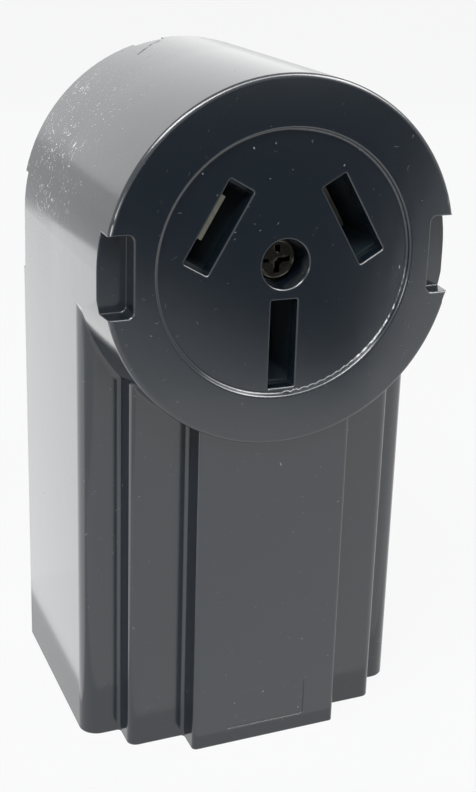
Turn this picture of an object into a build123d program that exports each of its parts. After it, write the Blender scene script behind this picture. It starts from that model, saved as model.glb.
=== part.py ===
"""Surface mount power receptacle with two line slots and one neutral slot.

Millimetres. +X is to the right of someone facing the slots, +Y is towards the wall, +Z is up.
The origin is under the middle of the case, on the surface that its lower end stands on.
"""
import os
from math import cos, radians, sin, tan

from build123d import *

os.makedirs("parts", exist_ok=True)

# Case. A setback is how far a surface lies behind the ring face, which is the foremost one.
case_width = 73.4
case_height = 143.0
case_depth = 61.4
wall = 3.0
rear_rim = 1.6
ring_edge_round = 0.8

# Stepped front below the ring
outer_panel_setback = 14.9
outer_panel_round = 4.0
outer_panel_cove = 3.2
boss_taper = 5
mid_panel_width = 57.4
mid_panel_setback = 8.2
mid_panel_round = 2.0
mid_panel_cove = 1.5
centre_panel_width = 33.0
centre_panel_setback = 2.2
centre_panel_round = 1.0
centre_panel_cove = 0.8
step_fillet = 0.8
cove_fade_share = 0.7
cove_root = 0.1
cove_backing = 0.5
label_width = 18.0
label_height = 8.6
label_depth = 0.25
label_corner = 0.8
label_middle_height = 7.7

# Round face
disc_diameter = 52.0
disc_recess = 1.0
disc_lip = 1.0
face_thickness = 3.4
mouth_edge = 0.2

# Slots: where each one sits round the face, and the lean of its long side, both in degrees
slot_seat_angles = {"line_left": 150, "line_right": 30, "neutral": 270}
slot_lean_angles = {"line_left": 60, "line_right": -60, "neutral": 90}
slot_circle = 16.2
slot_length = 18.1
slot_width = 5.6
slot_corner = 0.3

# Notches at the sides of the ring, and at the rear rim
notch_height = 15.8
notch_span = 61.8
notch_depth = 4.6
notch_corner = 1.3
notch_wall = 2.2
pry_above = 8.0
pry_below = 13.5
pry_depth_above = 2.0
pry_depth_below = 1.0
hook_width = 6.0
hook_spacing = 16.6
hook_clearance = 0.25
hook_shortfall = 0.8

# Cover screw and the boss that it pulls on
cover_hole_diameter = 10.0
cover_screw_setback = 5.6
cover_screw_diameter = 4.8
cover_screw_length = 18.0
cover_head_diameter = 9.0
cover_head_height = 2.4
cover_boss_wall = 1.4
cover_boss_floor = 2.0
recess_span = 5.6
recess_blade = 1.3
recess_depth = 1.7
recess_taper = 12

# Contacts
contact_width = 14.0
contact_gap = 2.6
contact_sheet = 1.0
contact_setback = 16.0
tongue_width = 9.4
tongue_shift = 1.0
tongue_setbacks = {"line_left": 2.5, "line_right": 15.5, "neutral": 15.0}
strap_width = 9.0
strap_thickness = 1.2
strap_overhang = 1.5
clip_thickness = 0.8
clip_span = 11.0
clip_depth = 8.0
clip_setback = 18.5

# Housing round the contacts
housing_diameter = 56.0
housing_flat_height = 21.5
housing_setback = 4.8
housing_depth = 26.2
pocket_end_inset = 0.5
pocket_clearance = 0.4
pocket_corner = 1.0
insert_diameter = 8.0
insert_length = 14.0
insert_chamfer = 0.6

# Base that carries the housing, the contact straps and the lugs
base_width = 58.0
base_below_ring = 54.3
base_flat_height = 23.0
base_case_gap = 1.2
deck_thickness = 7.0
base_wall = 3.0
screw_boss_diameter = 9.0
sheet_thickness = 0.8

# Screws through housing and base: across and above the ring's centre
block_screw_seats = {"top": (0.0, 13.5), "left": (-9.5, -18.0), "right": (9.5, -18.0)}
block_screw_diameter = 4.0
block_head_diameter = 7.2
block_head_height = 2.4
housing_screw_sink = 15.2
screw_tip_gap = 2.3
base_screw_head_diameter = 7.2
base_screw_length = 12.5
slot_cut_width = 1.1
slot_cut_depth = 1.0

# Box lugs
lug_seats = {"line_left": -19.0, "line_right": 19.0, "neutral": 0.0}
lug_below_ring = 42.3
lug_width = 13.0
lug_height = 14.0
lug_wall = 2.5
lug_front_wall = 4.0
wire_room = 8.6
lug_edge = 0.6
lug_screw_diameter = 7.0
lug_screw_length = 9.0
lug_screw_proud = 2.8

# Steel plate on the wall side
plate_thickness = 1.6
plate_clearance = 0.25
wall_hole_diameter = 5.2
wall_hole_above_ring = 28.5
wall_hole_spacing = 50.0
wall_hole_height = 30.0
knockout_diameter = 28.0
knockout_height = 36.0
knockout_groove = 0.9
knockout_groove_depth = 0.5

# Cable entry
cable_notch_width = 27.0
cable_notch_depth = 27.0
clamp_width = 12.0
clamp_thickness = 1.6
clamp_inside_diameter = 22.0
clamp_leg = 9.4
clamp_foot = 11.5
clamp_middle_height = 12.0
clamp_screw_spacing = 37.0
clamp_screw_diameter = 4.8
clamp_head_diameter = 8.4
clamp_head_height = 2.6
collar_diameter = 9.2
collar_height = 3.0

# Clearances, and how far a cutting tool runs past what it cuts
thread_clearance = 0.05
slip_clearance = 0.2
seat_clearance = 0.1
tool_overrun = 5.0

# Places that follow from the sizes above
front = -case_depth / 2
back = case_depth / 2
ring_radius = case_width / 2
ring_height = case_height - ring_radius
disc_floor = disc_recess
face_back = disc_recess + face_thickness
cover_seat = cover_screw_setback + cover_head_height
boss_end = cover_seat + cover_boss_floor
base_bottom = ring_height - base_below_ring
lug_middle_height = ring_height - lug_below_ring
boss_radius = cover_hole_diameter / 2 + cover_boss_wall
housing_back = housing_setback + housing_depth
base_back = case_depth - plate_thickness - sheet_thickness
plate_front = case_depth - plate_thickness
plate_radius = ring_radius - rear_rim - plate_clearance
contact_thickness = contact_gap + 2 * contact_sheet
strap_back = housing_back + strap_thickness
lug_back = strap_back + seat_clearance + lug_wall
lug_front = housing_back - wire_room - lug_front_wall
housing_screw_seat = housing_setback + housing_screw_sink
housing_screw_length = plate_front - base_screw_length - screw_tip_gap - housing_screw_seat
foot_back = plate_front - collar_height
foot_front = foot_back - clamp_thickness


def prism_y(outline, near, far, taper=0.0):
    """Extrudes an outline drawn in X and Z from setback near to setback far."""
    plane = Plane(origin=(0, front + far, 0), x_dir=(1, 0, 0), z_dir=(0, -1, 0))
    return extrude(plane * outline, far - near, taper=taper)


def prism_z(outline, low, high):
    """Extrudes an outline drawn in X and Y from height low to height high."""
    return extrude(Plane.XY.offset(low) * outline, high - low)


def rod(radius, near, far, x=0.0, z=ring_height):
    """Round bar along Y."""
    return prism_y(Pos(x, z) * Circle(radius), near, far)


def block(width, near, far, low, high, x=0.0):
    """Rectangular bar along Y, from height low to height high."""
    return prism_y(Pos(x, (low + high) / 2) * Rectangle(width, high - low), near, far)


def quarter(start, middle, end):
    """Quarter circle from start to end about middle."""
    centre = Vector(*middle)
    outward = Vector(*start) + Vector(*end) - centre * 2
    radius = (Vector(*start) - centre).length
    return ThreePointArc(start, centre + outward.normalized() * radius, end)


def turned(lines):
    """Turns a profile, drawn as radius and setback, about the axis of the round face."""
    plane = Plane(origin=(0, front, ring_height))
    return revolve(plane * make_face(lines), Axis((0, 0, ring_height), (0, 1, 0)))


def slot_place(name):
    """Place of a slot's middle; X runs along its long side and Y points away from the face's centre."""
    seat = radians(slot_seat_angles[name])
    middle = Pos(slot_circle * cos(seat), ring_height + slot_circle * sin(seat))
    return middle * Rot(0, 0, slot_lean_angles[name])


def seat_point(name):
    """Place of a screw that joins the housing and the base, in X and Z."""
    across, above = block_screw_seats[name]
    return across, ring_height + above


def step_outline(inset, rear):
    """Plan of the stepped body, inset from the outside, back to setback rear."""
    outer = case_width / 2 - inset
    middle = mid_panel_width / 2 - inset
    centre = centre_panel_width / 2 - inset
    rows = [
        (outer, rear, 0.0),
        (outer, outer_panel_setback + inset, max(outer_panel_round - inset, step_fillet)),
        (middle, outer_panel_setback + inset, step_fillet),
        (middle, mid_panel_setback + inset, max(mid_panel_round - inset, step_fillet)),
        (centre, mid_panel_setback + inset, step_fillet),
        (centre, centre_panel_setback + inset, max(centre_panel_round - inset, step_fillet)),
    ]
    mirrored = [(-x, y, radius) for x, y, radius in reversed(rows)]
    corners = rows + mirrored
    points = [(x, front + y) for x, y, radius in corners]
    radii = [radius for x, y, radius in corners]
    return make_face(FilletPolyline(*points, radius=radii, close=True))


def cove(setback, radius, panel_width, panel_round):
    """Hollow fillet where the round boss meets a panel; its centre lies lower, so it fades at the sides."""
    inner = ring_radius - cove_fade_share * radius - cove_root
    lines = [
        quarter((inner, setback - radius), (inner + radius, setback - radius), (inner + radius, setback)),
        Polyline((inner + radius, setback), (inner + radius, setback + cove_backing),
                 (inner - cove_backing, setback + cove_backing), (inner - cove_backing, setback - radius),
                 (inner, setback - radius)),
    ]
    sweep = Pos(0, 0, -cove_fade_share * radius) * turned(lines)
    return sweep & block(panel_width - panel_round, setback - radius, setback + cove_backing, 0, ring_height)


def tapered_boss():
    """Lower half of the boss in front of the outer panel: a little wider towards its foot, flush with the walls."""
    foot = outer_panel_setback + outer_panel_round + cove_backing
    widest = ring_radius + (outer_panel_setback - ring_edge_round) * tan(radians(boss_taper))
    inner = ring_radius - cove_backing
    lines = Polyline((ring_radius, ring_edge_round), (widest, outer_panel_setback), (widest, foot),
                     (inner, foot), (inner, ring_edge_round), close=True)
    return turned(lines) & block(case_width, ring_edge_round, foot, 0, ring_height)


def case_outside():
    """Round boss above and stepped body below, solid."""
    boss = rod(ring_radius, 0, case_depth)
    boss = fillet(boss.edges().group_by(Axis.Y)[0], ring_edge_round)
    body = boss + tapered_boss() + prism_z(step_outline(0, case_depth), 0, ring_height)
    body += cove(outer_panel_setback, outer_panel_cove, case_width, outer_panel_round)
    body += cove(mid_panel_setback, mid_panel_cove, mid_panel_width, mid_panel_round)
    body += cove(centre_panel_setback, centre_panel_cove, centre_panel_width, centre_panel_round)
    return body


def case_inside():
    """Hollow of the case, with the notch pockets and the screw boss left standing in it."""
    hollow = rod(ring_radius - wall, face_back, case_depth + tool_overrun)
    hollow += prism_z(step_outline(wall, case_depth + tool_overrun), wall, ring_height)
    pocket_half = notch_height / 2 + notch_wall
    reach = ring_radius - notch_span / 2 + notch_wall
    for side in (-1, 1):
        hollow -= block(reach, 0, notch_depth + notch_wall, ring_height - pocket_half,
                        ring_height + pocket_half, side * (ring_radius - reach / 2))
    return hollow - rod(boss_radius, 0, boss_end)


def disc_recess_tool():
    """What the recessed disc takes out of the ring face, with a rounded lip."""
    radius = disc_diameter / 2
    half = disc_lip / 2
    turn = disc_recess / 2
    rim_radius = radius + disc_lip
    middle = cos(radians(45))
    upper = (rim_radius - half * middle, turn - turn * middle)
    lower = (radius + half * middle, turn + turn * middle)
    lines = [
        Polyline((radius, disc_floor), (0, disc_floor), (0, -tool_overrun),
                 (rim_radius, -tool_overrun), (rim_radius, 0)),
        ThreePointArc((rim_radius, 0), upper, (rim_radius - half, turn)),
        ThreePointArc((rim_radius - half, turn), lower, (radius, disc_floor)),
    ]
    return turned(lines)


def slot_tool(name):
    """Slot through the face, with a small bevel at its mouth."""
    wide = RectangleRounded(slot_length, slot_width, slot_corner)
    mouth = prism_y(slot_place(name) * wide, disc_floor, disc_floor + mouth_edge, taper=-45)
    return prism_y(slot_place(name) * wide, 0, face_back + tool_overrun) + mouth


def cover_hole_tool():
    """Counterbore for the cover screw and the hole in its floor."""
    radius = cover_hole_diameter / 2
    bore = rod(radius, 0, cover_seat)
    mouth = prism_y(Pos(0, ring_height) * Circle(radius), disc_floor, disc_floor + mouth_edge, taper=-45)
    shank = rod(cover_screw_diameter / 2 + slip_clearance, 0, boss_end + tool_overrun)
    return bore + mouth + shank


def side_notch_tool(side):
    """Notch cut into the ring from its face."""
    reach = ring_radius + tool_overrun - notch_span / 2
    outline = Rectangle(reach, notch_height)
    outline = fillet(outline.vertices().group_by(Axis.X)[0], notch_corner)
    middle = notch_span / 2 + reach / 2
    turn = Pos(side * middle, ring_height) * Rot(0, 0, 0 if side > 0 else 180)
    pocket = prism_y(turn * outline, -tool_overrun, notch_depth)
    lead = prism_y(turn * outline, 0, mouth_edge, taper=-45)
    return pocket + lead


def pry_notch_tool(side):
    """Shallow notch in the rear rim, deeper at its upper end."""
    rear = back + tool_overrun
    corners = [
        (rear, ring_height + pry_above),
        (back - pry_depth_above, ring_height + pry_above),
        (back - pry_depth_below, ring_height - pry_below),
        (rear, ring_height - pry_below),
    ]
    outline = make_face(Polyline(*corners, close=True))
    reach = rear_rim + plate_clearance + tool_overrun
    sheet = extrude(Plane.YZ * outline, reach)
    start = side * (plate_radius + reach / 2) - reach / 2
    return Pos(start, 0, 0) * sheet


def hook_outline(width, radius):
    """Two hooks at the top of the plate, cut to a circle."""
    low = ring_height + plate_radius / 2
    bars = Sketch()
    for side in (-1, 1):
        bars += Pos(side * hook_spacing / 2, low + ring_radius / 2) * Rectangle(width, ring_radius)
    return bars & (Pos(0, ring_height) * Circle(radius))


def tombstone(radius, low):
    """Round top on straight sides, down to height low."""
    lower = Pos(0, (low + ring_height) / 2) * Rectangle(2 * radius, ring_height - low)
    return Pos(0, ring_height) * Circle(radius) + lower


def cable_notch_tool():
    """Round-ended opening in the lower wall, open to the back."""
    radius = cable_notch_width / 2
    straight = cable_notch_depth - radius
    run = straight + tool_overrun
    outline = Pos(0, back - straight) * Circle(radius)
    outline += Pos(0, back - straight + run / 2) * Rectangle(cable_notch_width, run)
    return prism_z(outline, -tool_overrun, wall + tool_overrun)


def make_cover():
    """One-piece moulded cover."""
    cover = case_outside() - case_inside() - disc_recess_tool() - cover_hole_tool()
    for name in slot_seat_angles:
        cover -= slot_tool(name)
    for side in (-1, 1):
        cover -= side_notch_tool(side)
        cover -= pry_notch_tool(side)
    label = Pos(0, label_middle_height) * RectangleRounded(label_width, label_height, label_corner)
    cover -= prism_y(label, 0, centre_panel_setback + label_depth)
    cover -= prism_y(tombstone(ring_radius - rear_rim, rear_rim), plate_front, case_depth + tool_overrun)
    cover -= prism_y(hook_outline(hook_width + 2 * hook_clearance, ring_radius + tool_overrun),
                     plate_front - hook_clearance, case_depth + tool_overrun)
    return cover - cable_notch_tool()


def cross_recess(setback, x, z):
    """Cross recess in a screw head, narrower at its bottom."""
    cross = Rectangle(recess_span, recess_blade) + Rectangle(recess_blade, recess_span)
    plane = Plane(origin=(x, front + setback, z), x_dir=(-1, 0, 0), z_dir=(0, 1, 0))
    arms = extrude(plane * cross, recess_depth, taper=recess_taper)
    point = extrude(plane * Circle(recess_blade * 1.1), recess_depth, taper=recess_taper)
    return arms + point


def pan_screw(x, z, top, head_diameter, head_height, diameter, length):
    """Pan head screw along Y with its head's top at setback top."""
    head = rod(head_diameter / 2, top, top + head_height, x, z)
    head = fillet(head.edges().group_by(Axis.Y)[0], head_height * 0.45)
    return head + rod(diameter / 2, top + head_height, top + head_height + length, x, z)


def slotted(screw, x, z, top, span):
    """Cuts a straight driver slot across the top of a screw."""
    cut = Pos(x, z) * Rectangle(span, slot_cut_width)
    return screw - prism_y(cut, top - tool_overrun, top + slot_cut_depth)


def make_cover_screw():
    """Long cross-recess screw in the middle of the face."""
    screw = pan_screw(0, ring_height, cover_screw_setback, cover_head_diameter, cover_head_height,
                      cover_screw_diameter, cover_screw_length)
    return screw - cross_recess(cover_screw_setback, 0, ring_height)


def strap_outline(name):
    """Flat strap from a contact down to its lug, drawn in X and Z."""
    x = lug_seats[name]
    low = lug_middle_height - lug_height / 2 - strap_overhang
    top = ring_height + slot_circle * sin(radians(slot_seat_angles[name])) - contact_thickness / 2
    leg = Pos(x, (low + top) / 2) * Rectangle(strap_width, top - low)
    return leg + slot_place(name) * Rectangle(contact_width, contact_thickness)


def make_contact(name):
    """Brass contact: two leaves that stand on a flat strap."""
    contact = prism_y(strap_outline(name), housing_back, strap_back)
    offset = (contact_gap + contact_sheet) / 2
    for side in (-1, 1):
        leaf = slot_place(name) * (Pos(0, side * offset) * Rectangle(contact_width, contact_sheet))
        contact += prism_y(leaf, contact_setback, strap_back)
    tongue = slot_place(name) * (Pos(tongue_shift, offset) * Rectangle(tongue_width, contact_sheet))
    return contact + prism_y(tongue, tongue_setbacks[name], contact_setback + contact_sheet)


def make_clip(name):
    """Spring steel clip that squeezes the two leaves of a contact."""
    inside = contact_thickness + 2 * thread_clearance
    end = contact_width / 2 + thread_clearance
    band = Pos(end + clip_thickness - clip_span / 2, 0) * Rectangle(clip_span, inside + 2 * clip_thickness)
    room = Pos(end - clip_span / 2, 0) * Rectangle(clip_span, inside)
    return prism_y(slot_place(name) * (band - room), clip_setback, clip_setback + clip_depth)


def housing_outline():
    """Round housing with a flat top."""
    radius = housing_diameter / 2
    depth = radius + housing_flat_height
    keep = Pos(0, ring_height + housing_flat_height - depth / 2) * Rectangle(housing_diameter, depth)
    return (Pos(0, ring_height) * Circle(radius)) & keep


def make_housing():
    """Insulating block with a pocket for each contact."""
    housing = prism_y(housing_outline(), housing_setback, housing_back)
    pocket_length = slot_length - 2 * pocket_end_inset
    pocket_width = contact_thickness + 2 * (clip_thickness + thread_clearance + pocket_clearance)
    for name in slot_seat_angles:
        pocket = RectangleRounded(pocket_length, pocket_width, pocket_corner)
        housing -= prism_y(slot_place(name) * pocket, 0, housing_back)
    for name in block_screw_seats:
        x, z = seat_point(name)
        housing -= rod(block_head_diameter / 2 + slip_clearance, 0, housing_screw_seat, x, z)
        housing -= rod(block_screw_diameter / 2 + slip_clearance, 0, housing_back, x, z)
    insert_end = boss_end + slip_clearance + insert_length
    housing -= rod(boss_radius + slip_clearance, 0, boss_end + slip_clearance)
    housing -= rod(insert_diameter / 2, 0, insert_end)
    return housing - rod(cover_screw_diameter / 2 + slip_clearance, 0, housing_back)


def make_insert():
    """Brass insert that the cover screw turns into."""
    start = boss_end + slip_clearance
    insert = rod(insert_diameter / 2, start, start + insert_length)
    insert = chamfer(insert.edges().group_by(Axis.Y)[0], insert_chamfer)
    return insert - rod(cover_screw_diameter / 2 + thread_clearance, start, start + insert_length)


def base_outline(inset=0.0):
    """Flat-topped outline that stays clear of the round part of the case."""
    low = base_bottom + inset
    high = ring_height + base_flat_height - inset
    width = base_width - 2 * inset
    bar = Pos(0, (low + high) / 2) * Rectangle(width, high - low)
    return bar & tombstone(ring_radius - wall - base_case_gap - inset, low)


def make_base():
    """Insulating base: a deck in front, walls round it and bosses for the screws."""
    deck_back = housing_back + deck_thickness
    base = prism_y(base_outline(), housing_back, base_back)
    base -= prism_y(base_outline(base_wall), deck_back, base_back)
    for name in block_screw_seats:
        x, z = seat_point(name)
        base += rod(screw_boss_diameter / 2, deck_back - base_wall, base_back, x, z)
    for name in block_screw_seats:
        x, z = seat_point(name)
        base -= rod(block_screw_diameter / 2 + thread_clearance, housing_back, base_back, x, z)
    for name, x in lug_seats.items():
        base -= prism_y(offset(strap_outline(name), amount=slip_clearance), housing_back, strap_back)
        half = lug_height / 2 + slip_clearance
        base -= block(lug_width + 2 * slip_clearance, housing_back, lug_back + seat_clearance,
                      lug_middle_height - half, lug_middle_height + half, x)
    return base


def make_lug(name):
    """Box lug round the tail of a contact."""
    x = lug_seats[name]
    low = lug_middle_height - lug_height / 2
    high = lug_middle_height + lug_height / 2
    lug = block(lug_width, lug_front, lug_back, low, high, x)
    lug = chamfer(lug.edges().filter_by(Axis.Z), lug_edge)
    lug -= block(strap_width + 2 * slip_clearance, lug_front + lug_front_wall, lug_back - lug_wall,
                 low, high, x)
    hole = lug_screw_diameter / 2 + thread_clearance
    return lug - rod(hole, lug_front, lug_front + lug_front_wall, x, lug_middle_height)


def make_lug_screw(name):
    """Slotted screw that clamps a wire in its lug."""
    x = lug_seats[name]
    top = lug_front - lug_screw_proud
    screw = rod(lug_screw_diameter / 2, top, top + lug_screw_length, x, lug_middle_height)
    screw = chamfer(screw.edges().group_by(Axis.Y)[-1], lug_edge)
    return slotted(screw, x, lug_middle_height, top, lug_screw_diameter)


def make_housing_screw(name):
    """Screw that holds the housing on the base."""
    x, z = seat_point(name)
    top = housing_screw_seat - block_head_height
    screw = pan_screw(x, z, top, block_head_diameter, block_head_height, block_screw_diameter,
                      housing_screw_length)
    return slotted(screw, x, z, top, block_head_diameter)


def countersink(diameter, x, z, grow):
    """Cone through the plate for a countersunk head."""
    lines = [
        (0, plate_front), (block_screw_diameter / 2 + grow, plate_front),
        (diameter / 2 + grow, case_depth), (0, case_depth),
    ]
    plane = Plane(origin=(x, front, z))
    face = make_face(Polyline(*lines, close=True))
    return revolve(plane * face, Axis((x, 0, z), (0, 1, 0)))


def make_base_screw(name):
    """Countersunk screw from the wall side of the plate into the base."""
    x, z = seat_point(name)
    screw = countersink(base_screw_head_diameter, x, z, 0.0)
    screw += rod(block_screw_diameter / 2, plate_front - base_screw_length, plate_front, x, z)
    cut = Pos(x, z) * Rectangle(base_screw_head_diameter, slot_cut_width)
    return screw - prism_y(cut, case_depth - slot_cut_depth, case_depth)


def make_sheet():
    """Fibre sheet between the base and the steel plate."""
    sheet = prism_y(base_outline(), base_back, plate_front)
    for name in block_screw_seats:
        x, z = seat_point(name)
        sheet -= rod(block_screw_diameter / 2 + slip_clearance, base_back, plate_front, x, z)
    return sheet


def make_plate():
    """Steel plate that closes the back of the case."""
    outline = tombstone(plate_radius, rear_rim + plate_clearance)
    outline += hook_outline(hook_width, ring_radius - hook_shortfall)
    plate = prism_y(outline, plate_front, case_depth)
    holes = [(0.0, ring_height + wall_hole_above_ring)]
    holes += [(side * wall_hole_spacing / 2, wall_hole_height) for side in (-1, 1)]
    for x, z in holes:
        plate -= rod(wall_hole_diameter / 2, plate_front, case_depth, x, z)
    for name in block_screw_seats:
        x, z = seat_point(name)
        plate -= countersink(base_screw_head_diameter, x, z, thread_clearance)
    tapped = clamp_screw_diameter / 2 + thread_clearance
    for side in (-1, 1):
        x = side * clamp_screw_spacing / 2
        plate += rod(collar_diameter / 2, foot_back, plate_front, x, clamp_middle_height)
        plate -= rod(tapped, foot_back, case_depth, x, clamp_middle_height)
    ring = Circle(knockout_diameter / 2) - Circle(knockout_diameter / 2 - knockout_groove)
    groove = prism_y(Pos(0, knockout_height) * ring, case_depth - knockout_groove_depth, case_depth)
    return plate - groove


def make_clamp():
    """Strap that bridges the cable and is screwed to the plate."""
    inside = clamp_inside_diameter / 2
    outside = inside + clamp_thickness
    foot_middle = front + foot_back - clamp_thickness / 2
    crown = front + foot_back - clamp_leg
    arch = Pos(0, crown) * Circle(outside)
    arch += Pos(0, crown + clamp_leg / 2) * Rectangle(2 * outside, clamp_leg)
    arch += Pos(0, foot_middle) * Rectangle(2 * (outside + clamp_foot), clamp_thickness)
    arch -= Pos(0, crown) * Circle(inside)
    arch -= Pos(0, crown + clamp_leg / 2) * Rectangle(2 * inside, clamp_leg)
    arch -= Pos(0, crown + clamp_leg + outside / 2) * Rectangle(2 * outside, outside)
    half = clamp_width / 2
    clamp = prism_z(arch, clamp_middle_height - half, clamp_middle_height + half)
    hole = clamp_screw_diameter / 2 + slip_clearance
    for side in (-1, 1):
        x = side * clamp_screw_spacing / 2
        clamp -= rod(hole, foot_front, foot_back, x, clamp_middle_height)
    return clamp


def make_clamp_screw(side):
    """Screw at one end of the clamp."""
    x = side * clamp_screw_spacing / 2
    top = foot_front - clamp_head_height
    length = case_depth - foot_front - seat_clearance
    screw = pan_screw(x, clamp_middle_height, top, clamp_head_diameter, clamp_head_height,
                      clamp_screw_diameter, length)
    return slotted(screw, x, clamp_middle_height, top, clamp_head_diameter)


pieces = {
    "cover": make_cover(),
    "cover_screw": make_cover_screw(),
    "contact_housing": make_housing(),
    "threaded_insert": make_insert(),
    "terminal_base": make_base(),
    "insulator_sheet": make_sheet(),
    "mounting_plate": make_plate(),
    "cable_clamp": make_clamp(),
    "clamp_screw_left": make_clamp_screw(-1),
    "clamp_screw_right": make_clamp_screw(1),
}
for slot in slot_seat_angles:
    pieces[f"contact_{slot}"] = make_contact(slot)
    pieces[f"contact_spring_{slot}"] = make_clip(slot)
    pieces[f"terminal_lug_{slot}"] = make_lug(slot)
    pieces[f"lug_screw_{slot}"] = make_lug_screw(slot)
for seat in block_screw_seats:
    pieces[f"housing_screw_{seat}"] = make_housing_screw(seat)
    pieces[f"base_screw_{seat}"] = make_base_screw(seat)

for name, piece in pieces.items():
    piece.label = name
    export_step(piece, f"parts/{name}.step")
    print(f"{name}: {len(piece.solids())} solid, {piece.volume:.0f} mm3")
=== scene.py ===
# %% [markdown]
# # A surface mount receptacle in glossy black
#
# The object is a power receptacle that is screwed to a wall: a moulded case, brass contacts in
# insulating blocks, and a steel back plate. Its solids come from a CAD model in metres, so this
# lesson adds only what a solid cannot hold: finishes, a floor, lamps and a camera.
#
# The pieces could be modelled again here, but their edges, slots and screw recesses are already
# true in the solids. So each one keeps its mesh, and the work goes into the materials.

from math import pi, radians

import bpy
from mathutils import Matrix, Vector


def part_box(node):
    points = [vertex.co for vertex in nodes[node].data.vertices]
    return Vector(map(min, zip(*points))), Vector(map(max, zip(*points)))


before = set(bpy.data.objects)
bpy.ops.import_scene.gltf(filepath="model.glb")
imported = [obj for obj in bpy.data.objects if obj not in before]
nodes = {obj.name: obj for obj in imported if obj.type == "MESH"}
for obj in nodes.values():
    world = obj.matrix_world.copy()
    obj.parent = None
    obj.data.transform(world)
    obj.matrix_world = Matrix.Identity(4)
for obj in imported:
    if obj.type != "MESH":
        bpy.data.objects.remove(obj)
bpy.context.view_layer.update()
bpy.context.scene.view_settings.view_transform = "Standard"
print("nodes:", len(nodes))

# %% [markdown]
# ## Sizes to work from
#
# Blender and the model both count in metres, and a surface is thought of in millimetres. The
# cover encloses all the rest, so its box is the outline of the case, and the marks on its skin are
# placed from that box.

# %% Sizes
millimetre = 0.001
cover_low, cover_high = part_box("cover")
print("case, mm:", [round(side / millimetre, 1) for side in cover_high - cover_low])

# %% [markdown]
# ## Helpers
#
# A colour picked from a screen is stored as sRGB, but the renderer adds up light, which is
# linear. One function turns the hex code into linear values.
#
# Materials are graphs of nodes. One function adds a node, sets what it is given and links what
# it is given, so a graph reads from top to bottom like a recipe. One empties a graph, one starts
# a material with the shader that most finishes need, and the last puts a material on a list of
# pieces of the model.

# %% Helpers
def linear(code):
    """Linear colour, opaque, for an sRGB hex code such as #1c2026."""
    channels = [int(code[i:i + 2], 16) / 255 for i in (1, 3, 5)]
    return [c / 12.92 if c <= 0.04045 else ((c + 0.055) / 1.055) ** 2.4 for c in channels] + [1.0]


def add(tree, kind, inputs=None, **settings):
    """Adds a node, with its settings and with its inputs either set or linked."""
    made = tree.nodes.new(kind)
    for name, value in settings.items():
        setattr(made, name, value)
    for name, value in (inputs or {}).items():
        if isinstance(value, bpy.types.NodeSocket):
            tree.links.new(value, made.inputs[name])
        else:
            made.inputs[name].default_value = value
    return made


def empty_graph(holder):
    """Empties the node graph of a material or a world, and gives it back."""
    holder.use_nodes = True
    holder.node_tree.nodes.clear()
    return holder.node_tree


def start_material(name, **principled):
    """New material with one Principled shader, and the object's own coordinates."""
    material = bpy.data.materials.new(name)
    tree = empty_graph(material)
    inputs = {key.replace("_", " "): value for key, value in principled.items()}
    shader = add(tree, "ShaderNodeBsdfPrincipled", inputs)
    add(tree, "ShaderNodeOutputMaterial", {"Surface": shader.outputs["BSDF"]})
    place = add(tree, "ShaderNodeTexCoord").outputs["Object"]
    return material, tree, shader, place


def dress(material, names):
    """Gives the material to each named node of the model."""
    for name in names:
        piece = nodes[name]
        piece.data.materials.clear()
        piece.data.materials.append(material)
    print(material.name, "on", len(names))


# %% [markdown]
# ## Camera
#
# The photograph was taken from close by, a little to the left of the face and from above. The
# camera's place, turn and focal length were solved from measured points of the case. The picture
# is a crop whose middle is not the middle of the lens, which a small shift repeats.

# %% Camera
picture_width = 476
picture_height = 792
focal_pixels = 1368.3
lens_middle = (271.8, 345.4)
camera_place = Vector((-0.1056, -0.2614, 0.1752))
camera_turn = radians(24.02)
camera_down = radians(18.54)
camera_roll = radians(2.24)

camera_data = bpy.data.cameras.new("camera")
camera_data.sensor_fit = "VERTICAL"
camera_data.sensor_height = 24
camera_data.lens = camera_data.sensor_height * focal_pixels / picture_height
camera_data.shift_x = (picture_width / 2 - lens_middle[0]) / picture_height
camera_data.shift_y = (lens_middle[1] - picture_height / 2) / picture_height
camera_data.clip_start = 0.01
camera = bpy.data.objects.new("camera", camera_data)
camera.matrix_world = (
    Matrix.Translation(camera_place)
    @ Matrix.Rotation(-camera_turn, 4, "Z")
    @ Matrix.Rotation(pi / 2 - camera_down, 4, "X")
    @ Matrix.Rotation(camera_roll, 4, "Z")
)
bpy.context.scene.collection.objects.link(camera)
bpy.context.scene.camera = camera
print("lens, mm:", round(camera_data.lens, 2))

# %% [markdown]
# ## Glossy black moulding
#
# The cover is a thermoset such as urea or phenolic, pressed in a polished steel mould. That gives
# a dark body under a smooth skin: almost all that the eye sees is reflection, weak when looked at
# squarely and strong at a grazing angle, which an index of refraction near 1.7 gives.
#
# A pressed edge is never quite sharp. The solid's sharp edges are eased in the shading by a third
# of a millimetre, and each one then catches a thin line of light.
#
# A mirror-smooth black looks computed, so six small faults go on it:
#
# - a faint waviness of the skin, a few millimetres wide, from the way the moulding shrank,
# - fine curled scuffs from handling, which are lines where a noise passes its middle value,
# - specks of dust, which are the middles of Voronoi cells,
# - a denser patch of both high on the left of the round boss, where it was handled most,
# - a film of dust round that patch, which only makes the reflection softer,
# - one hairline crack from the rear rim, which reflects next to nothing.
#
# Scuffs and specks are lighter and rougher than the skin. They could be painted as an image, but
# a procedure stays sharp at any distance.

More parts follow.
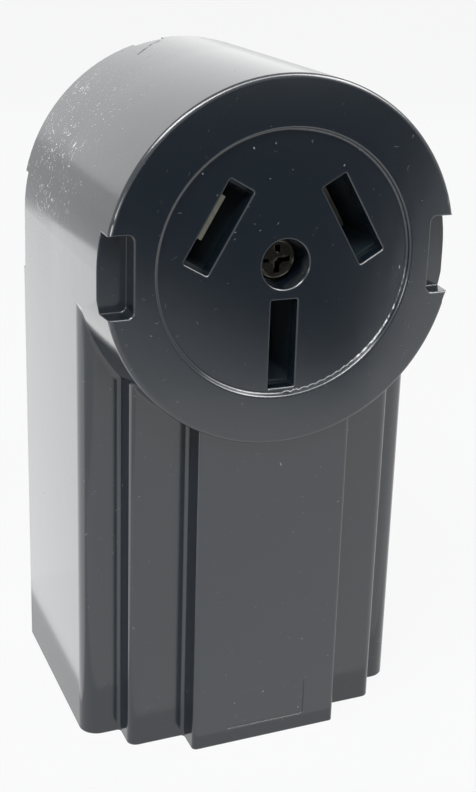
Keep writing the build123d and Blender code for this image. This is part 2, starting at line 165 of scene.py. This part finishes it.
# %% Black moulding
black_skin = "#18222b"
scuff_grey = "#868b8f"
scuff_white = "#f4f5f5"
dust_white = "#b9bcbd"
skin_roughness = 0.14
wave_width = 5 * millimetre
eased_edge = 0.3 * millimetre
wave_height = 0.06 * millimetre
speck_spacing = 1.7 * millimetre
speck_radius = 0.13
speck_bend = 1.1 * millimetre
speck_bend_width = 0.5 * millimetre
scuff_size = 2 * millimetre
mark_roughness = 0.7
patch_middle = Vector((cover_low.x * 0.85, 0.016, cover_high.z - 0.02))
patch_reach = 0.038
clump_width = 6 * millimetre
film_reach = 0.05
film_start = 3 * millimetre
film_full = 9 * millimetre
film_roughness = 0.2
crack_start = Vector((-0.0139, 0.0202, 0.1403))
crack_end = Vector((-0.0066, 0.0274, 0.1424))
crack_width = 0.5 * millimetre
crack_wander = 2 * millimetre
crack_gloss = 0.02
skin_gloss = 0.5

# each pair is for the plain skin and for the middle of the patch
speck_share = (0.03, 0.8)
scuff_thickness = (0.006, 0.03)
scuff_cut = (0.77, 0.45)

black, tree, shader, place = start_material(
    "glossy_black_thermoset_moulding", IOR=1.7, Roughness=skin_roughness
)

# the patch: 1 at its middle, 0 beyond its reach, and clumped in between
away = add(tree, "ShaderNodeVectorMath", {0: place, 1: patch_middle}, operation="DISTANCE")
fading = add(tree, "ShaderNodeMapRange", {
    "Value": away.outputs["Value"], "From Min": patch_reach, "From Max": patch_reach * 0.25,
})
gathered = add(tree, "ShaderNodeTexNoise", {"Vector": place, "Scale": 1 / clump_width, "Detail": 1.0})
clumps = add(tree, "ShaderNodeMapRange", {
    "Value": gathered.outputs["Fac"], "From Min": 0.4, "From Max": 0.6, "To Min": 0.45,
})
patch = add(tree, "ShaderNodeMapRange", {
    "Value": fading.outputs["Result"], "To Max": clumps.outputs["Result"],
})

# the film of dust: over the patch and beyond, but only behind the round face
film_near = add(tree, "ShaderNodeMapRange", {
    "Value": away.outputs["Value"], "From Min": film_reach, "From Max": film_reach * 0.4,
})
depth = add(tree, "ShaderNodeSeparateXYZ", {"Vector": place}).outputs["Y"]
film = add(tree, "ShaderNodeMapRange", {
    "Value": depth, "From Min": film_start, "From Max": film_full,
    "To Max": film_near.outputs["Result"],
})

# specks: one to a cell, each with its own chance and size
bends = add(tree, "ShaderNodeTexNoise", {"Vector": place, "Scale": 1 / speck_bend_width, "Detail": 1.0})
bent = add(tree, "ShaderNodeVectorMath", {
    0: bends.outputs["Color"], 1: (speck_bend,) * 3, 2: place,
}, operation="MULTIPLY_ADD")
cells = add(tree, "ShaderNodeTexVoronoi", {"Vector": bent.outputs["Vector"], "Scale": 1 / speck_spacing})
chance = add(tree, "ShaderNodeSeparateColor", {"Color": cells.outputs["Color"]})
enough = add(tree, "ShaderNodeMapRange", {
    "Value": patch.outputs["Result"], "To Min": speck_share[0], "To Max": speck_share[1],
})
chosen = add(tree, "ShaderNodeMath", {0: chance.outputs["Red"], 1: enough.outputs["Result"]},
             operation="LESS_THAN")
size = add(tree, "ShaderNodeMath", {0: chance.outputs["Green"], 1: speck_radius}, operation="MULTIPLY")
speck = add(tree, "ShaderNodeMath", {0: cells.outputs["Distance"], 1: size.outputs["Value"]},
            operation="LESS_THAN")
specks = add(tree, "ShaderNodeMath", {0: speck.outputs["Value"], 1: chosen.outputs["Value"]},
             operation="MULTIPLY")

# scuffs: thin lines where a noise passes its middle value, broken up by a second noise
curls = add(tree, "ShaderNodeTexNoise", {
    "Vector": place, "Scale": 1 / scuff_size, "Detail": 1.0, "Distortion": 0.6,
})
off_middle = add(tree, "ShaderNodeMath", {0: curls.outputs["Fac"], 1: 0.5}, operation="SUBTRACT")
near = add(tree, "ShaderNodeMath", {0: off_middle.outputs["Value"]}, operation="ABSOLUTE")
thickness = add(tree, "ShaderNodeMapRange", {
    "Value": patch.outputs["Result"], "To Min": scuff_thickness[0], "To Max": scuff_thickness[1],
})
line = add(tree, "ShaderNodeMapRange", {
    "Value": near.outputs["Value"], "From Min": thickness.outputs["Result"], "From Max": 0.0,
})
breaks = add(tree, "ShaderNodeTexNoise", {"Vector": place, "Scale": 1.6 / scuff_size, "Detail": 0.0})
cut = add(tree, "ShaderNodeMapRange", {
    "Value": patch.outputs["Result"], "To Min": scuff_cut[0], "To Max": scuff_cut[1],
})
kept = add(tree, "ShaderNodeMath", {0: breaks.outputs["Fac"], 1: cut.outputs["Result"]},
           operation="GREATER_THAN")
scuffs = add(tree, "ShaderNodeMath", {0: line.outputs["Result"], 1: kept.outputs["Value"]},
             operation="MULTIPLY")

scuff_tint = add(tree, "ShaderNodeMix", {
    "Factor": patch.outputs["Result"], "A": linear(scuff_grey), "B": linear(scuff_white),
}, data_type="RGBA")
colour = add(tree, "ShaderNodeMix", {
    "Factor": scuffs.outputs["Value"], "A": linear(black_skin), "B": scuff_tint.outputs["Result"],
}, data_type="RGBA")
dusty = add(tree, "ShaderNodeMix", {
    "Factor": specks.outputs["Value"], "A": colour.outputs["Result"], "B": linear(dust_white),
}, data_type="RGBA")
tree.links.new(dusty.outputs["Result"], shader.inputs["Base Color"])

# the hairline crack: near the line between its ends, and broken into a slight wander
along = (crack_end - crack_start).normalized()
wander = add(tree, "ShaderNodeTexNoise", {"Vector": place, "Scale": 1 / crack_wander, "Detail": 1.0})
pushed = add(tree, "ShaderNodeVectorMath", {
    0: wander.outputs["Color"], 1: (crack_wander * 0.6,) * 3, 2: place,
}, operation="MULTIPLY_ADD")
start = add(tree, "ShaderNodeVectorMath", {
    0: pushed.outputs["Vector"], 1: crack_start + Vector((crack_wander * 0.3,) * 3),
}, operation="SUBTRACT")
crossed = add(tree, "ShaderNodeVectorMath", {0: start.outputs["Vector"], 1: along},
              operation="CROSS_PRODUCT")
aside = add(tree, "ShaderNodeVectorMath", {0: crossed.outputs["Vector"]}, operation="LENGTH")
reached = add(tree, "ShaderNodeVectorMath", {0: start.outputs["Vector"], 1: along}, operation="DOT_PRODUCT")
narrow = add(tree, "ShaderNodeMapRange", {
    "Value": aside.outputs["Value"], "From Min": crack_width, "From Max": crack_width * 0.4,
})
begun = add(tree, "ShaderNodeMath", {0: reached.outputs["Value"], 1: 0.0}, operation="GREATER_THAN")
ended = add(tree, "ShaderNodeMath", {0: reached.outputs["Value"], 1: (crack_end - crack_start).length},
            operation="LESS_THAN")
within = add(tree, "ShaderNodeMath", {0: begun.outputs["Value"], 1: ended.outputs["Value"]},
             operation="MULTIPLY")
crack = add(tree, "ShaderNodeMath", {0: narrow.outputs["Result"], 1: within.outputs["Value"]},
            operation="MULTIPLY")
gloss = add(tree, "ShaderNodeMapRange", {
    "Value": crack.outputs["Value"], "To Min": skin_gloss, "To Max": crack_gloss,
})
tree.links.new(gloss.outputs["Result"], shader.inputs["Specular IOR Level"])

# roughness: the skin, the film of dust on it, and the marks on both
marks = add(tree, "ShaderNodeMath", {0: scuffs.outputs["Value"], 1: specks.outputs["Value"]},
            operation="MAXIMUM")
filmed = add(tree, "ShaderNodeMapRange", {
    "Value": film.outputs["Result"], "To Min": skin_roughness, "To Max": film_roughness,
})
rough = add(tree, "ShaderNodeMapRange", {
    "Value": marks.outputs["Value"], "To Min": filmed.outputs["Result"], "To Max": mark_roughness,
})
tree.links.new(rough.outputs["Result"], shader.inputs["Roughness"])

# the shape of the skin: eased edges and a faint waviness
waves = add(tree, "ShaderNodeTexNoise", {"Vector": place, "Scale": 1 / wave_width, "Detail": 2.0})
eased = add(tree, "ShaderNodeBevel", {"Radius": eased_edge}, samples=6)
skin = add(tree, "ShaderNodeBump", {
    "Height": waves.outputs["Fac"], "Strength": 0.25, "Distance": wave_height,
    "Normal": eased.outputs["Normal"],
})
tree.links.new(skin.outputs["Normal"], shader.inputs["Normal"])
dress(black, ["cover"])

# %% [markdown]
# ## Black phenolic
#
# The blocks that hold the contacts are phenolic filled with wood flour: nearly black, satin, with a
# faint mottle about a millimetre wide where the flour is denser. They are seen only through the
# slots, so a noise for the mottle and a low bump for the grain are enough.

# %% Phenolic
phenolic, tree, shader, place = start_material("black_phenolic_moulding", IOR=1.6, Roughness=0.38)
mottle = add(tree, "ShaderNodeTexNoise", {
    "Vector": place, "Scale": 1 / (1.2 * millimetre), "Detail": 4.0,
})
tone = add(tree, "ShaderNodeMix", {
    "Factor": mottle.outputs["Fac"], "A": linear("#1c2c36"), "B": linear("#28343a"),
}, data_type="RGBA")
tree.links.new(tone.outputs["Result"], shader.inputs["Base Color"])
grain = add(tree, "ShaderNodeBump", {
    "Height": mottle.outputs["Fac"], "Strength": 0.3, "Distance": 0.05 * millimetre,
})
tree.links.new(grain.outputs["Normal"], shader.inputs["Normal"])
dress(phenolic, ["contact_housing", "terminal_base"])

# %% [markdown]
# ## Metals
#
# A metal has no body colour under its skin: its colour is that of its reflection, so Metallic is
# 1 and the index of refraction stays at its default. What tells one from another is that colour
# and how it was worked.
#
# - Brass strip is rolled, which leaves fine lines along the strip, and it dulls in blotches.
# - Zinc plate on steel sheet is bluish white, with cloudy patches a few millimetres wide.
# - Screws are headed cold and plated bright: smoother, with the lines of a turned part.
# - Spring steel is blued by its heat treatment.
# - The lugs are extruded aluminium with tin over it, satin along the bar.
#
# One recipe serves them all: stretched noise for the lines, and round noise for the blotches. Real
# rolling and turning lines are finer than a tenth of a millimetre. They are drawn two to three
# times as coarse, because otherwise they would not show.

# %% Metals
def start_metal(name, bright, dull, roughness, line_width, stretch, blotch_width):
    """Worked metal: fine lines along one direction, and blotches that are duller and rougher."""
    material, tree, shader, place = start_material(name, Metallic=1.0)
    squeezed = add(tree, "ShaderNodeMapping", {"Vector": place, "Scale": stretch})
    lines = add(tree, "ShaderNodeTexNoise", {
        "Vector": squeezed.outputs["Vector"], "Scale": 1 / line_width, "Detail": 3.0,
    })
    blotches = add(tree, "ShaderNodeTexNoise", {
        "Vector": place, "Scale": 1 / blotch_width, "Detail": 3.0, "Roughness": 0.6,
    })
    tint = add(tree, "ShaderNodeMix", {
        "Factor": blotches.outputs["Fac"], "A": linear(bright), "B": linear(dull),
    }, data_type="RGBA")
    tree.links.new(tint.outputs["Result"], shader.inputs["Base Color"])
    both = add(tree, "ShaderNodeMath", {0: lines.outputs["Fac"], 1: blotches.outputs["Fac"]},
               operation="ADD")
    uneven = add(tree, "ShaderNodeMapRange", {
        "Value": both.outputs["Value"], "From Min": 0.6, "From Max": 1.4,
        "To Min": roughness * 0.7, "To Max": roughness * 1.35,
    })
    tree.links.new(uneven.outputs["Result"], shader.inputs["Roughness"])
    relief = add(tree, "ShaderNodeBump", {
        "Height": lines.outputs["Fac"], "Strength": 0.2, "Distance": 0.02 * millimetre,
    })
    tree.links.new(relief.outputs["Normal"], shader.inputs["Normal"])
    return material


slots = ("line_left", "line_right", "neutral")
seats = ("top", "left", "right")

brass = start_metal("rolled_brass_strip", "#8c8c80", "#3c3f38", 0.36, 0.3 * millimetre,
                    (1, 1, 0.05), 3 * millimetre)
dress(brass, [f"contact_{slot}" for slot in slots] + ["threaded_insert"])

blued = start_metal("blued_spring_steel", "#5c6470", "#3a4250", 0.3, 0.3 * millimetre,
                    (1, 0.05, 1), 4 * millimetre)
dress(blued, [f"contact_spring_{slot}" for slot in slots])

tinned = start_metal("tin_plated_extruded_lug", "#d3d3cf", "#aeb0ae", 0.3, 0.3 * millimetre,
                     (1, 1, 0.04), 2 * millimetre)
dress(tinned, [f"terminal_lug_{slot}" for slot in slots])

plated = start_metal("zinc_plated_steel_sheet", "#c9cdd1", "#a5abb0", 0.34, 0.35 * millimetre,
                     (1, 1, 0.03), 5 * millimetre)
dress(plated, ["mounting_plate", "cable_clamp"])

screw_steel = start_metal("bright_plated_screw_steel", "#74726a", "#2a2926", 0.13, 0.2 * millimetre,
                          (1, 1, 1), 1.5 * millimetre)
dress(screw_steel, ["cover_screw", "clamp_screw_left", "clamp_screw_right"]
      + [f"lug_screw_{slot}" for slot in slots]
      + [f"housing_screw_{seat}" for seat in seats]
      + [f"base_screw_{seat}" for seat in seats])

# %% [markdown]
# ## Fibre sheet
#
# Vulcanised fibre is pressed paper: grey, dry to the eye, with short fibres that show as a soft
# fleck. It lies between the base and the plate, where only its edge could be seen, so one noise
# of fine detail stands for the fibres.

# %% Fibre
fibre, tree, shader, place = start_material("grey_vulcanised_fibre_sheet", IOR=1.5, Roughness=0.75)
flecks = add(tree, "ShaderNodeTexNoise", {
    "Vector": place, "Scale": 1 / (0.6 * millimetre), "Detail": 5.0, "Roughness": 0.7,
})
tone = add(tree, "ShaderNodeMix", {
    "Factor": flecks.outputs["Fac"], "A": linear("#5b5650"), "B": linear("#8b847b"),
}, data_type="RGBA")
tree.links.new(tone.outputs["Result"], shader.inputs["Base Color"])
dress(fibre, ["insulator_sheet"])

# %% [markdown]
# ## Floor
#
# A pale table top. To the camera, and in the gloss of the case, it is nearly white, as a studio
# sweep is, and it still takes the shadow of the case: most of what is seen there is a plain white
# glow, and the rest is the lit surface.

# %% Floor
floor_size = 10.0
floor_gap = 0.02 * millimetre
floor_glow = 0.9


def seen_or_mirrored(tree):
    """1 for what the camera sees, straight or in a glossy or clear surface, and 0 for other light."""
    path = add(tree, "ShaderNodeLightPath")
    mirrored = add(tree, "ShaderNodeMath", {
        0: path.outputs["Is Glossy Ray"], 1: path.outputs["Is Transmission Ray"],
    }, operation="MAXIMUM")
    return add(tree, "ShaderNodeMath", {
        0: path.outputs["Is Camera Ray"], 1: mirrored.outputs["Value"],
    }, operation="MAXIMUM").outputs["Value"]


bpy.ops.mesh.primitive_grid_add(x_subdivisions=4, y_subdivisions=4, size=floor_size,
                                location=(0, 0, -floor_gap))
floor = bpy.context.object
floor.name = "floor"
paper = bpy.data.materials.new("pale_floor")
tree = empty_graph(paper)
lit = add(tree, "ShaderNodeBsdfDiffuse", {"Color": linear("#e4e5e6")})
glow = add(tree, "ShaderNodeEmission", {"Color": linear("#ffffff")})
share = add(tree, "ShaderNodeMath", {0: seen_or_mirrored(tree), 1: floor_glow}, operation="MULTIPLY")
mixed = add(tree, "ShaderNodeMixShader", {
    "Fac": share.outputs["Value"], 1: lit.outputs["BSDF"], 2: glow.outputs["Emission"],
})
add(tree, "ShaderNodeOutputMaterial", {"Surface": mixed.outputs["Shader"]})
floor.data.materials.append(paper)

# %% [markdown]
# ## World
#
# The room lights the case only faintly, so the black stays black. The camera sees it white, and
# so does the gloss, which draws a fine light line round every rounded edge.

# %% World
room_level = 0.35
world = bpy.data.worlds.new("room")
bpy.context.scene.world = world
tree = empty_graph(world)
dim = add(tree, "ShaderNodeBackground", {"Color": linear("#e6ebf0"), "Strength": room_level})
white = add(tree, "ShaderNodeBackground", {"Color": linear("#ffffff"), "Strength": 1.0})
mixed = add(tree, "ShaderNodeMixShader", {
    "Fac": seen_or_mirrored(tree), 1: dim.outputs["Background"], 2: white.outputs["Background"],
})
add(tree, "ShaderNodeOutputWorld", {"Surface": mixed.outputs["Shader"]})

# %% [markdown]
# ## Lamps
#
# A glossy black thing shows its lamps rather than their light, so each lamp is a soft panel
# placed where its reflection belongs. The level of a panel is the brightness of its face, where
# 1 is white paper.
#
# - The key is a wide strip above and in front, and it lights the floor and draws the shadow.
# - Three rim lights and one low panel at the left are there for the gloss alone. They draw the
#   white line along the edge of the round face and the lip of its disc, and light nothing else.
# - One panel stands behind, for the top of the round boss.
# - Two lie at the left, for the left wall, which mirrors the table there: a large one, and a
#   narrow one close by for the foot.
# - Two lie in front, for the stepped panels and the bottom of the ring.

# %% Lamps
def softbox(name, middle, aim, width, height, level, turn=0.0, gloss_only=False):
    """Area lamp with a face of the given brightness, that the camera does not see."""
    data = bpy.data.lights.new(name, "AREA")
    data.shape = "RECTANGLE"
    data.size = width
    data.size_y = height
    data.energy = level * width * height * pi
    lamp = bpy.data.objects.new(name, data)
    lamp.location = middle
    lamp.rotation_euler = (Vector(aim) - Vector(middle)).to_track_quat("-Z", "Y").to_euler()
    lamp.rotation_euler.rotate_axis("Z", radians(turn))
    lamp.visible_camera = False
    lamp.visible_diffuse = not gloss_only
    bpy.context.scene.collection.objects.link(lamp)
    print(name, "watts:", round(data.energy, 2))


round_boss = (0, 0, 0.1)
softbox("key", (-0.35, -0.45, 0.85), round_boss, 0.9, 0.25, 8.0)
softbox("rim_light", (0.15, -0.5, 0.85), round_boss, 1.6, 0.4, 7.0, gloss_only=True)
softbox("rim_light_left", (-0.45, -0.33, 0.8), round_boss, 0.4, 0.4, 6.0, gloss_only=True)
softbox("rim_light_right", (0.62, -0.45, 0.62), round_boss, 0.6, 0.5, 8.0, gloss_only=True)
softbox("edge_left", (-0.75, -0.75, 0.17), round_boss, 0.5, 0.26, 7.0, gloss_only=True)
softbox("behind", (0.12, 0.75, 0.42), round_boss, 1.1, 0.5, 0.6)
softbox("left_low", (-0.294, 0.28, 0.004), (-0.294, 0.28, 1.0), 0.51, 0.46, 0.9)
softbox("left_foot", (-0.17, 0.02, 0.004), (-0.17, 0.02, 1.0), 0.26, 0.06, 0.85)
softbox("right_low", (0.2, -0.275, 0.004), (0.2, -0.275, 1.0), 0.06, 0.22, 0.35, turn=-34)
softbox("front_low", (0.1, -0.13, 0.002), (0.1, -0.13, 1.0), 0.5, 0.2, 0.26)

# %% [markdown]
# ## Dark card
#
# The round face mirrors the table far in front of the case, and there the photograph is dark. A
# studio lays a black card on the table for that. This one is a wedge that spreads away from the
# case. Its right edge is sharp, its left edge and its tip fade, and only the gloss sees it.

# %% Dark card
card_darkness = 0.92
card_lift = 1.0 * millimetre
tip_left = Vector((0.055, -0.19))
tip_right = Vector((0.095, -0.19))
far_right = Vector((0.727, -1.12))
far_left = Vector((-0.13, -1.12))
fade_across = 92 * millimetre
fade_tip = 35 * millimetre

card_mesh = bpy.data.meshes.new("dark_card")
corners = [(p.x, p.y, card_lift) for p in (tip_left, tip_right, far_right, far_left)]
card_mesh.from_pydata(corners, [], [(3, 2, 1, 0)])
card = bpy.data.objects.new("dark_card", card_mesh)
bpy.context.scene.collection.objects.link(card)
for view in ("camera", "diffuse", "shadow", "transmission"):
    setattr(card, "visible_" + view, False)

black_card = bpy.data.materials.new("black_paper_card")
tree = empty_graph(black_card)
spot = add(tree, "ShaderNodeTexCoord").outputs["Object"]
left_edge = (tip_left - far_left).normalized()
inward = Vector((left_edge.y, -left_edge.x, 0))
across = add(tree, "ShaderNodeVectorMath", {0: spot, 1: inward}, operation="DOT_PRODUCT")
fade_start = inward.xy.dot(tip_left)
from_left = add(tree, "ShaderNodeMapRange", {
    "Value": across.outputs["Value"], "From Min": fade_start, "From Max": fade_start + fade_across,
})
outward = add(tree, "ShaderNodeSeparateXYZ", {"Vector": spot}).outputs["Y"]
from_tip = add(tree, "ShaderNodeMapRange", {
    "Value": outward, "From Min": tip_left.y, "From Max": tip_left.y - fade_tip,
    "To Max": card_darkness,
})
covers = add(tree, "ShaderNodeMath", {0: from_left.outputs["Result"], 1: from_tip.outputs["Result"]},
             operation="MULTIPLY")
clear = add(tree, "ShaderNodeBsdfTransparent")
black_paper = add(tree, "ShaderNodeBsdfDiffuse", {"Color": linear("#0c0d0e")})
mixed = add(tree, "ShaderNodeMixShader", {
    "Fac": covers.outputs["Value"], 1: clear.outputs["BSDF"], 2: black_paper.outputs["BSDF"],
})
add(tree, "ShaderNodeOutputMaterial", {"Surface": mixed.outputs["Shader"]})
card.data.materials.append(black_card)
print("dark card, m:", [round(value, 2) for value in card.dimensions])
